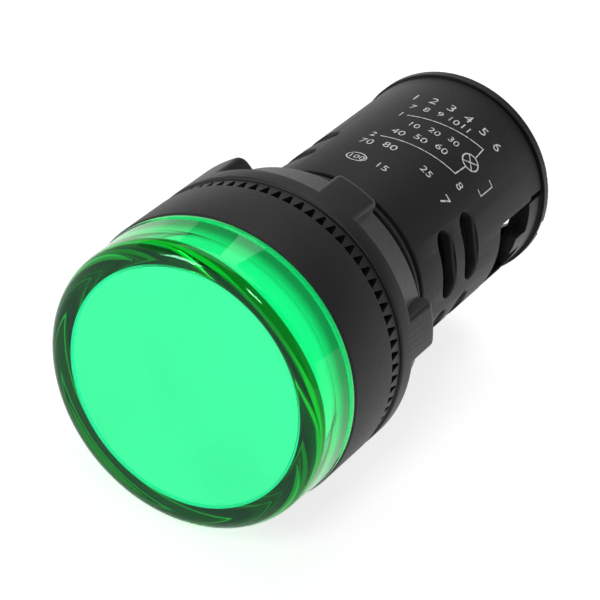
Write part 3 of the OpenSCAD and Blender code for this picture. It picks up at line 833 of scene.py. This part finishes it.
@dataclass
class LensUnit:
    """Clear green lens with its spigot, and the milky diffuser inside it."""

    front: float = -13.1
    seam: float = -6.8
    front_r: float = 14.2
    seam_r: float = 14.4
    edge_r: float = 1.5
    spigot_r: float = 13.2
    bore_r: float = 12.0
    grip_r: float = 11.79
    grip_front: float = -8.3
    hollow_front: float = -12.1
    spigot_end: float = -3.5
    cup_r: float = 11.8
    cup_front: float = -12.0
    cup_end: float = -3.4
    cup_wall: float = 0.8

    def lens(self) -> Piece:
        """Builds the lens: flat front, rounded edge, drafted side, a small bead at the seam and the spigot.

        The bore stands clear of the diffuser in front, which makes the dark rim, and grips it at the rear, where
        its light gets into the lens.
        """
        outline = rounded([
            (0.0, self.front, 0.0),
            (self.front_r, self.front, self.edge_r),
            (self.seam_r - 0.12, self.seam - 0.75, 0.1),
            (self.seam_r, self.seam - 0.55, 0.15),
            (self.seam_r, self.seam - 0.02, 0.15),
            (self.spigot_r, self.seam - 0.02, 0.1),
            (self.spigot_r, self.spigot_end, 0.1),
            (self.grip_r, self.spigot_end, 0.1),
            (self.grip_r, self.grip_front, 0.0),
            (self.bore_r, self.grip_front - 0.05, 0.0),
            (self.bore_r, self.hollow_front, 0.35),
            (0.0, self.hollow_front, 0.0),
        ], steps=34, closed=False)
        return dress(revolve("lens_moulding", outline, segments=420, closed=False), Finish.LENS)

    def diffuser(self) -> Piece:
        """Builds the diffuser cup with its rounded front edge."""
        inner_r, inner_front = self.cup_r - self.cup_wall, self.cup_front + self.cup_wall
        outline = rounded([
            (0.0, self.cup_front, 0.0),
            (self.cup_r, self.cup_front, 0.5),
            (self.cup_r, self.cup_end, 0.1),
            (inner_r, self.cup_end, 0.1),
            (inner_r, inner_front, 0.3),
            (0.0, inner_front, 0.0),
        ], steps=8, closed=False)
        return dress(revolve("diffuser_cup", outline, closed=False), Finish.DIFFUSER)

    def build(self) -> list[Piece]:
        """Builds the lens and the diffuser, which ride on the housing."""
        lens, diffuser = self.lens(), self.diffuser()
        for piece, node, slot in ((lens, "lens", "lens_plastic"), (diffuser, "diffuser", "diffuser_plastic")):
            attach(piece, "housing")
            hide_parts(node)
        return [lens, diffuser]


@dataclass
class LockRing:
    """Toothed ring between the panel and the nut."""

    outer_r: float = 14.25
    bore_r: float = 11.3
    land_r: float = 12.25
    front: float = 0.1
    thickness: float = 1.68
    tooth_depth: float = 1.42
    teeth: int = 74
    gap_tip: float = 1.0
    gap_root: float = 0.2
    bite: float = 0.04
    steps: int = 222

    def build(self) -> list[Piece]:
        """Builds the ring with Geometry Nodes: a land, a thin floor, and one tooth repeated round them."""
        pitch = 2 * math.pi * self.outer_r / self.teeth
        rig = Pattern("toothed_ring", {
            "Outer Radius": self.outer_r * MM, "Bore Radius": self.bore_r * MM, "Land Radius": self.land_r * MM,
            "Thickness": self.thickness * MM, "Tooth Depth": self.tooth_depth * MM, "Teeth": self.teeth,
            "Tooth Root": (pitch - self.gap_root) * MM, "Tooth Tip": (pitch - self.gap_tip) * MM,
            "Front": self.front * MM, "Bite": self.bite * MM,
        })
        given = rig.given
        inner = rig.math("SUBTRACT", given["Land Radius"], given["Bite"])
        land = rig.disc(given["Land Radius"], given["Bore Radius"], given["Thickness"], self.steps)
        rest = rig.math("SUBTRACT", given["Thickness"], given["Tooth Depth"])
        floor = rig.moved(rig.disc(given["Outer Radius"], inner, rest, self.steps), Z=given["Tooth Depth"])
        height = rig.math("ADD", given["Tooth Depth"], given["Bite"])
        face = rig.trapezium(given["Tooth Tip"], given["Tooth Root"], height)
        bar = rig.raised(face, rig.math("SUBTRACT", given["Outer Radius"], inner))
        tooth = rig.moved(bar, (QUARTER, 0.0, QUARTER), X=inner, Z=rig.math("MULTIPLY", height, 0.5))
        spots = rig.get("Mesh", "GeometryNodeMeshLine", {"Offset": (0.0, 0.0, 0.0)}, {"Count": given["Teeth"]})
        shifted = rig.math("ADD", rig.get("Index", "GeometryNodeInputIndex"), 0.5)
        turn = rig.math("MULTIPLY", shifted, rig.math("DIVIDE", 2 * math.pi, given["Teeth"]))
        links = {"Points": spots, "Instance": tooth, "Rotation": rig.vector(Z=turn)}
        comb = rig.get("Instances", "GeometryNodeInstanceOnPoints", links=links)
        whole = rig.moved(rig.sum(land, floor, comb), (-QUARTER, 0.0, 0.0), Y=given["Front"])
        ring = rig.make(whole, Finish.RING)
        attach(ring, "lock_ring")
        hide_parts("lock_ring")
        return [ring]


@dataclass
class LockNut:
    """Winged nut: flange, tapered collar and lugs with rounded corners."""

    bore_r: float = 11.06
    flange_r: float = 14.5
    collar_r: float = 14.0
    collar_end_r: float = 12.8
    front: float = 1.88
    flange_rear: float = 3.98
    rear: float = 8.68
    lugs: int = 6
    clock: float = 24.0
    lug_w: float = 4.45
    lug_corner: float = 1.2
    lug_edge: float = 0.42
    lug_foot: float = 0.6
    lug_root: float = 0.9
    slice: float = 0.6

    def collar(self) -> Piece:
        """Builds the flange and the tapered collar, with their edges rounded."""
        outline = rounded([
            (self.bore_r, self.front, 0.1),
            (self.flange_r, self.front, 0.22),
            (self.flange_r, self.flange_rear, 0.28),
            (self.collar_r, self.flange_rear, 0.12),
            (self.collar_end_r, self.rear, 0.3),
            (self.bore_r, self.rear, 0.15),
        ], steps=5)
        return revolve("winged_nut", outline, segments=240)

    def lug(self, angle_deg: float) -> Piece:
        """Builds one closed lug at an angle: a block with rounded edges, whose outer face follows the flange."""
        half, foot, start = self.lug_w / 2, self.bore_r + self.lug_foot, self.flange_rear - self.lug_root
        side = rounded([
            (foot, start, 0.0), (self.flange_r, start, 0.0), (self.flange_r, self.rear, self.lug_corner),
            (foot, self.rear - 0.02, 0.0),
        ], steps=7)
        bm = bmesh.new()
        a, b = ([bm.verts.new((x, y, t)) for x, y in side] for t in (-half, half))
        bm.faces.new(a)
        bm.faces.new(b)
        for k in range(len(side)):
            n = (k + 1) % len(side)
            bm.faces.new([a[k], a[n], b[n], b[k]])
        bmesh.ops.recalc_face_normals(bm, faces=bm.faces)
        flat = [edge for edge in bm.edges if edge.verts[0].co.z == edge.verts[1].co.z]
        rims = [edge for edge in flat if min(v.co.x for v in edge.verts) > foot + NEAR]
        bmesh.ops.bevel(bm, geom=rims, offset=self.lug_edge, segments=4, profile=0.5, affect="EDGES")
        for k in range(-3, 4):
            geom = list(bm.verts) + list(bm.edges) + list(bm.faces)
            bmesh.ops.bisect_plane(bm, geom=geom, plane_co=(0, 0, k * self.slice), plane_no=(0, 0, 1))
        for v in bm.verts:
            x, y, t = v.co
            v.co = turned(math.sqrt(x * x - t * t), y, t, angle_deg)
        bmesh.ops.recalc_face_normals(bm, faces=bm.faces)
        return object_from(bm, "nut_lug")

    def build(self) -> list[Piece]:
        """Builds the nut and joins its lugs to the collar."""
        lugs = [self.lug(self.clock + 360 / self.lugs * k) for k in range(self.lugs)]
        nut = dress(carve(self.collar(), lugs, Way.WELD), Finish.NUT)
        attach(nut, "lock_nut")
        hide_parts("lock_nut")
        return [nut]


@dataclass
class CarriedNodes:
    """CAD nodes whose shape stays as it is, by their finish."""

    finishes: tuple[tuple[Coat, str], ...] = (
        (Finish.GASKET, "panel_gasket"),
        (Finish.LAMP_BOARD, "lamp_board"),
        (Finish.CHIP, "lamp_chips"),
        (Finish.DRIVER_BOARD, "driver_board"),
        (Finish.PIN, "board_pins"),
        (Finish.DROPPER, "dropper_capacitor"),
        (Finish.SLEEVE, "smoothing_capacitor"),
        (Finish.EPOXY, "rectifier"),
        (Finish.RESISTOR, "surge_resistor bleed_resistor"),
        (Finish.BLOCK, "terminal_block"),
        (Finish.STRIP, "contact_strip_right contact_strip_left"),
        (Finish.CLAMP, "clamp_plate_right clamp_plate_left"),
        (Finish.SCREW, "terminal_screw_right terminal_screw_left"),
        (Finish.COVER, "terminal_cover"),
    )

    def build(self, nodes: dict[str, Piece]) -> list[Piece]:
        """Dresses these of the frame's nodes, which are given by name, and returns them."""
        return [dress(nodes[name], finish) for finish, names in self.finishes for name in names.split()]


@dataclass(frozen=True)
class Numbers:
    """Plain numbers of one height in mm, at one place or spaced evenly between two."""

    texts: str
    height: float
    first: Point
    last: Point | None = None


@dataclass
class Printing:
    """White marks on the barrel: a lamp sign with its two leads, plain numbers, an oval and a corner line.

    A place on the barrel is an angle round the axis in degrees and a depth in mm.
    """

    barrel_r: float = 10.65
    ink: float = 0.03
    line: float = 0.13
    lamp: Point = (64.5, 28.2)
    lamp_r: float = 1.0
    leads: tuple[tuple[int, Point, Point], ...] = (
        (1, (65.6, 31.2), (108.0, 28.6)), (-1, (65.0, 25.1), (108.0, 23.1)),
    )
    numbers: tuple[Numbers, ...] = (
        Numbers("1", 0.95, (111.5, 28.1)),
        Numbers("2", 0.95, (112.0, 22.7)),
        Numbers("1 2 3 4 5 6", 1.3, (115.0, 32.3), (62.0, 32.7)),
        Numbers("7 8 9 10 11", 0.95, (110.5, 30.2), (80.0, 31.1)),
        Numbers("10 20 30", 0.9, (100.0, 26.8), (78.5, 28.1)),
        Numbers("40 50 60", 1.0, (102.5, 24.45), (79.5, 25.8)),
        Numbers("70 80", 1.05, (111.0, 20.9), (98.5, 21.4)),
        Numbers("15", 1.0, (92.0, 17.6)),
        Numbers("25", 1.0, (75.0, 21.4)),
        Numbers("7", 1.5, (57.5, 20.6)),
        Numbers("8", 1.1, (58.5, 24.0)),
        Numbers("100", 0.8, (106.5, 17.52)),
    )
    oval: Point = (106.5, 17.9)
    oval_half: Point = (5.4, 0.8)
    hook: tuple[Point, ...] = ((51.0, 29.3), (47.0, 29.3), (47.0, 26.9), (51.0, 26.9))
    cap_share: float = 1.38
    letter_gap: float = 1.05

    @property
    def per_deg(self) -> float:
        """Length of one degree on the barrel, in mm."""
        return math.radians(self.barrel_r)

    def on_barrel(self, angle_deg: float, depth: float) -> Place:
        """Returns the place on the printed surface at an angle and a depth, in metres."""
        a, r = math.radians(angle_deg), (self.barrel_r + self.ink) * MM
        return r * math.cos(a), depth * MM, r * math.sin(a)

    def stroke(self, points: list[Point], width: float, closed: bool = False) -> Piece:
        """Draws a line on the barrel, as a flat mesh that follows it.

        Args:
            points: the places that it goes through.
            width: its even width, in mm.
            closed: True joins the ends.

        Returns:
            The line.
        """
        flat = [Vector((-a * self.per_deg, y)) for a, y in points]
        count = len(flat)
        bm = bmesh.new()
        rows = []
        for i, p in enumerate(flat):
            before = flat[i - 1] if (closed or i) else p
            after = flat[(i + 1) % count] if (closed or i < count - 1) else p
            d1, d2 = p - before, after - p
            way = (d1.normalized() + d2.normalized()).normalized()
            out = Vector((-way.y, way.x))
            share = 1.0
            if d1.length and d2.length:
                share = 1 / max(0.5, out.dot(Vector((-d1.y, d1.x)).normalized()))
            row = [p + out * (width / 2 * share), p - out * (width / 2 * share)]
            rows.append([bm.verts.new(self.on_barrel(-q.x / self.per_deg, q.y)) for q in row])
        for a, b in zip(rows, rows[1:] + rows[:1] if closed else rows[1:]):
            bm.faces.new([a[0], b[0], b[1], a[1]])
        return self.facing_out(bm, "stroke")

    @staticmethod
    def facing_out(bm: BMesh, name: str) -> Piece:
        """Makes the flat faces of a mark look away from the axis, and returns its object."""
        bm.normal_update()
        for face in bm.faces:
            middle = face.calc_center_median()
            if face.normal.dot(Vector((middle.x, 0, middle.z))) < 0:
                face.normal_flip()
        return object_from(bm, name)

    def number(self, text: str, place: Point, height: float) -> Piece:
        """Prints a plain number; its foot has its middle at the place given, and lies towards the head."""
        curve = bpy.data.curves.new("number", "FONT")
        curve.body, curve.size, curve.align_x = text, height * self.cap_share, "CENTER"
        curve.space_character = self.letter_gap
        bm = taken([evaluated_copy(link("number", curve), "number")])
        bmesh.ops.triangulate(bm, faces=bm.faces)
        for v in bm.verts:
            v.co = self.on_barrel(place[0] - v.co.x / self.per_deg, place[1] + v.co.y)
        return self.facing_out(bm, "number")

    @staticmethod
    def loop(middle: Point, half: Point, steps: int = 40) -> list[Point]:
        """Returns the places round an oval with this middle and these half widths."""
        turns = [2 * math.pi * k / steps for k in range(steps)]
        return [(middle[0] + half[0] * math.cos(a), middle[1] + half[1] * math.sin(a)) for a in turns]

    @staticmethod
    def between(first: Point, last: Point, count: int) -> list[Point]:
        """Returns places spaced evenly from the first to the last."""
        shares = [i / max(1, count - 1) for i in range(count)]
        return [tuple(a + (b - a) * share for a, b in zip(first, last)) for share in shares]

    def build(self) -> list[Piece]:
        """Prints the marks and joins them into one piece."""
        angle, depth = self.lamp
        r, r_deg = self.lamp_r, self.lamp_r / self.per_deg
        marks = [self.stroke(self.loop(self.lamp, (r_deg, r)), self.line * 1.15, closed=True)]
        d = math.sqrt(0.5)
        for s in (-1, 1):
            cross = [(angle - r_deg * d, depth - s * r * d), (angle + r_deg * d, depth + s * r * d)]
            marks.append(self.stroke(cross, self.line))
        for way, near, far in self.leads:
            marks.append(self.stroke([(angle, depth + way * r)] + self.between(near, far, 31), self.line))
        marks.append(self.stroke(self.loop(self.oval, self.oval_half), self.line, closed=True))
        marks.append(self.stroke(list(self.hook), self.line))
        for row in self.numbers:
            texts = row.texts.split()
            places = self.between(row.first, row.last or row.first, len(texts))
            marks += [self.number(text, place, row.height) for text, place in zip(texts, places)]
        piece = dress(object_from(taken(marks), "printed_marks"), Finish.INK)
        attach(piece, "housing")
        return [piece]


# ---- stage, light and camera


@dataclass(frozen=True)
class SoftLamp:
    """A soft square lamp: where it hangs, the point it faces and its side in mm, and its power in watts."""

    name: str
    place: Place
    target: Place
    size: float
    power: float

    def build(self) -> None:
        """Hangs the lamp."""
        light = bpy.data.lights.new(self.name, "AREA")
        light.shape, light.size, light.energy = "SQUARE", self.size * MM, self.power
        holder = link(self.name, light)
        holder.location = Vector(self.place) * MM
        holder.rotation_euler = (Vector(self.target) - Vector(self.place)).to_track_quat("-Z", "Y").to_euler()


@dataclass
class Studio:
    """White sweep, soft lamps and a dim room round the light."""

    floor_z: float = -14.52
    radius: float = 1200.0
    bend: float = 250.0
    wall: float = 330.0
    paper: float = 0.5
    paper_lift: float = 0.76
    room: float = 0.25
    lamps: tuple[SoftLamp, ...] = (
        SoftLamp("low_key", (-330.0, -560.0, 60.0), (0.0, 0.0, 0.0), 150.0, 1.5),
        SoftLamp("front_key", (30.0, -400.0, 410.0), (0.0, 0.0, 0.0), 100.0, 0.8),
        SoftLamp("overhead", (-240.0, 200.0, 560.0), (0.0, 10.0, 0.0), 560.0, 1.7),
        SoftLamp("right_fill", (520.0, -100.0, 260.0), (0.0, 10.0, 0.0), 400.0, 0.2),
    )

    def sweep_material(self) -> Material:
        """Builds the white paper of the sweep: plain white to the eye, and still taking the shadow."""
        paint = Paint("white_paper_sweep")
        paper = paint.get("BSDF", "ShaderNodeBsdfDiffuse", {"Color": (self.paper, self.paper, self.paper, 1.0)})
        path = paint.add("ShaderNodeLightPath").outputs
        seen = paint.math("MAXIMUM", path["Is Camera Ray"], path["Is Glossy Ray"])
        seen = paint.math("MAXIMUM", seen, path["Is Transmission Ray"])
        strength = paint.math("MULTIPLY", seen, self.paper_lift)
        glow = paint.get("Emission", "ShaderNodeEmission", links={"Strength": strength})
        return paint.end(Surface=paint.get("Shader", "ShaderNodeAddShader", links={0: paper, 1: glow}))

    def build(self) -> None:
        """Builds the sweep, the lamps and the world."""
        top = self.floor_z + self.wall
        outline = rounded(
            [(0.0, self.floor_z, 0.0), (self.radius, self.floor_z, self.bend), (self.radius, top, 0.0)],
            steps=12, closed=False,
        )
        sweep = revolve("paper_sweep", outline, segments=96, closed=False)
        sweep.data.transform(Matrix.Rotation(QUARTER, 4, "X"))
        sweep.data.materials.append(self.sweep_material())
        for lamp in self.lamps:
            lamp.build()
        world = bpy.data.worlds.new("room")
        world.use_nodes = True
        nodes = Nodes(world.node_tree)
        room = nodes.get("Background", "ShaderNodeBackground", {"Color": WHITE, "Strength": self.room})
        nodes.add("ShaderNodeOutputWorld", links={"Surface": room})
        bpy.context.scene.world = world
        bpy.context.scene.view_settings.view_transform = "Standard"


@dataclass
class CameraRig:
    """Camera in front of the lens, to the right and above, rolled about its own axis."""

    place: Place = (71.8, -208.3, 166.5)
    right: Place = (0.8122, 0.5000, 0.3005)
    up: Place = (-0.5256, 0.4037, 0.7488)
    focal: float = 180.0

    def build(self) -> None:
        """Builds the camera and makes it the scene's."""
        data = bpy.data.cameras.new("camera")
        data.lens, data.sensor_width = self.focal, 36.0
        data.clip_start, data.clip_end = 0.01, 10.0
        camera = link("camera", data)
        right, up = Vector(self.right).normalized(), Vector(self.up).normalized()
        back = right.cross(up).normalized()
        up = back.cross(right).normalized()
        turn = Matrix((right, up, back)).transposed()
        camera.matrix_world = Matrix.Translation(Vector(self.place) * MM) @ turn.to_4x4()
        bpy.context.scene.camera = camera


def main() -> None:
    """Loads the frame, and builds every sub-assembly on it in order."""
    logging.basicConfig(level=logging.INFO, format="%(name)s: %(message)s", stream=sys.stdout)
    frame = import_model()
    CameraRig().build()
    Studio().build()
    made = CarriedNodes().build(frame["nodes"])
    for unit in (Housing(), LensUnit(), LockRing(), LockNut(), Printing()):
        made += unit.build()
    for piece in made:
        log.info("%s: %d faces, finish %s", piece.name, len(piece.data.polygons), piece.data.materials[0].name)


if __name__ == "__main__":
    main()
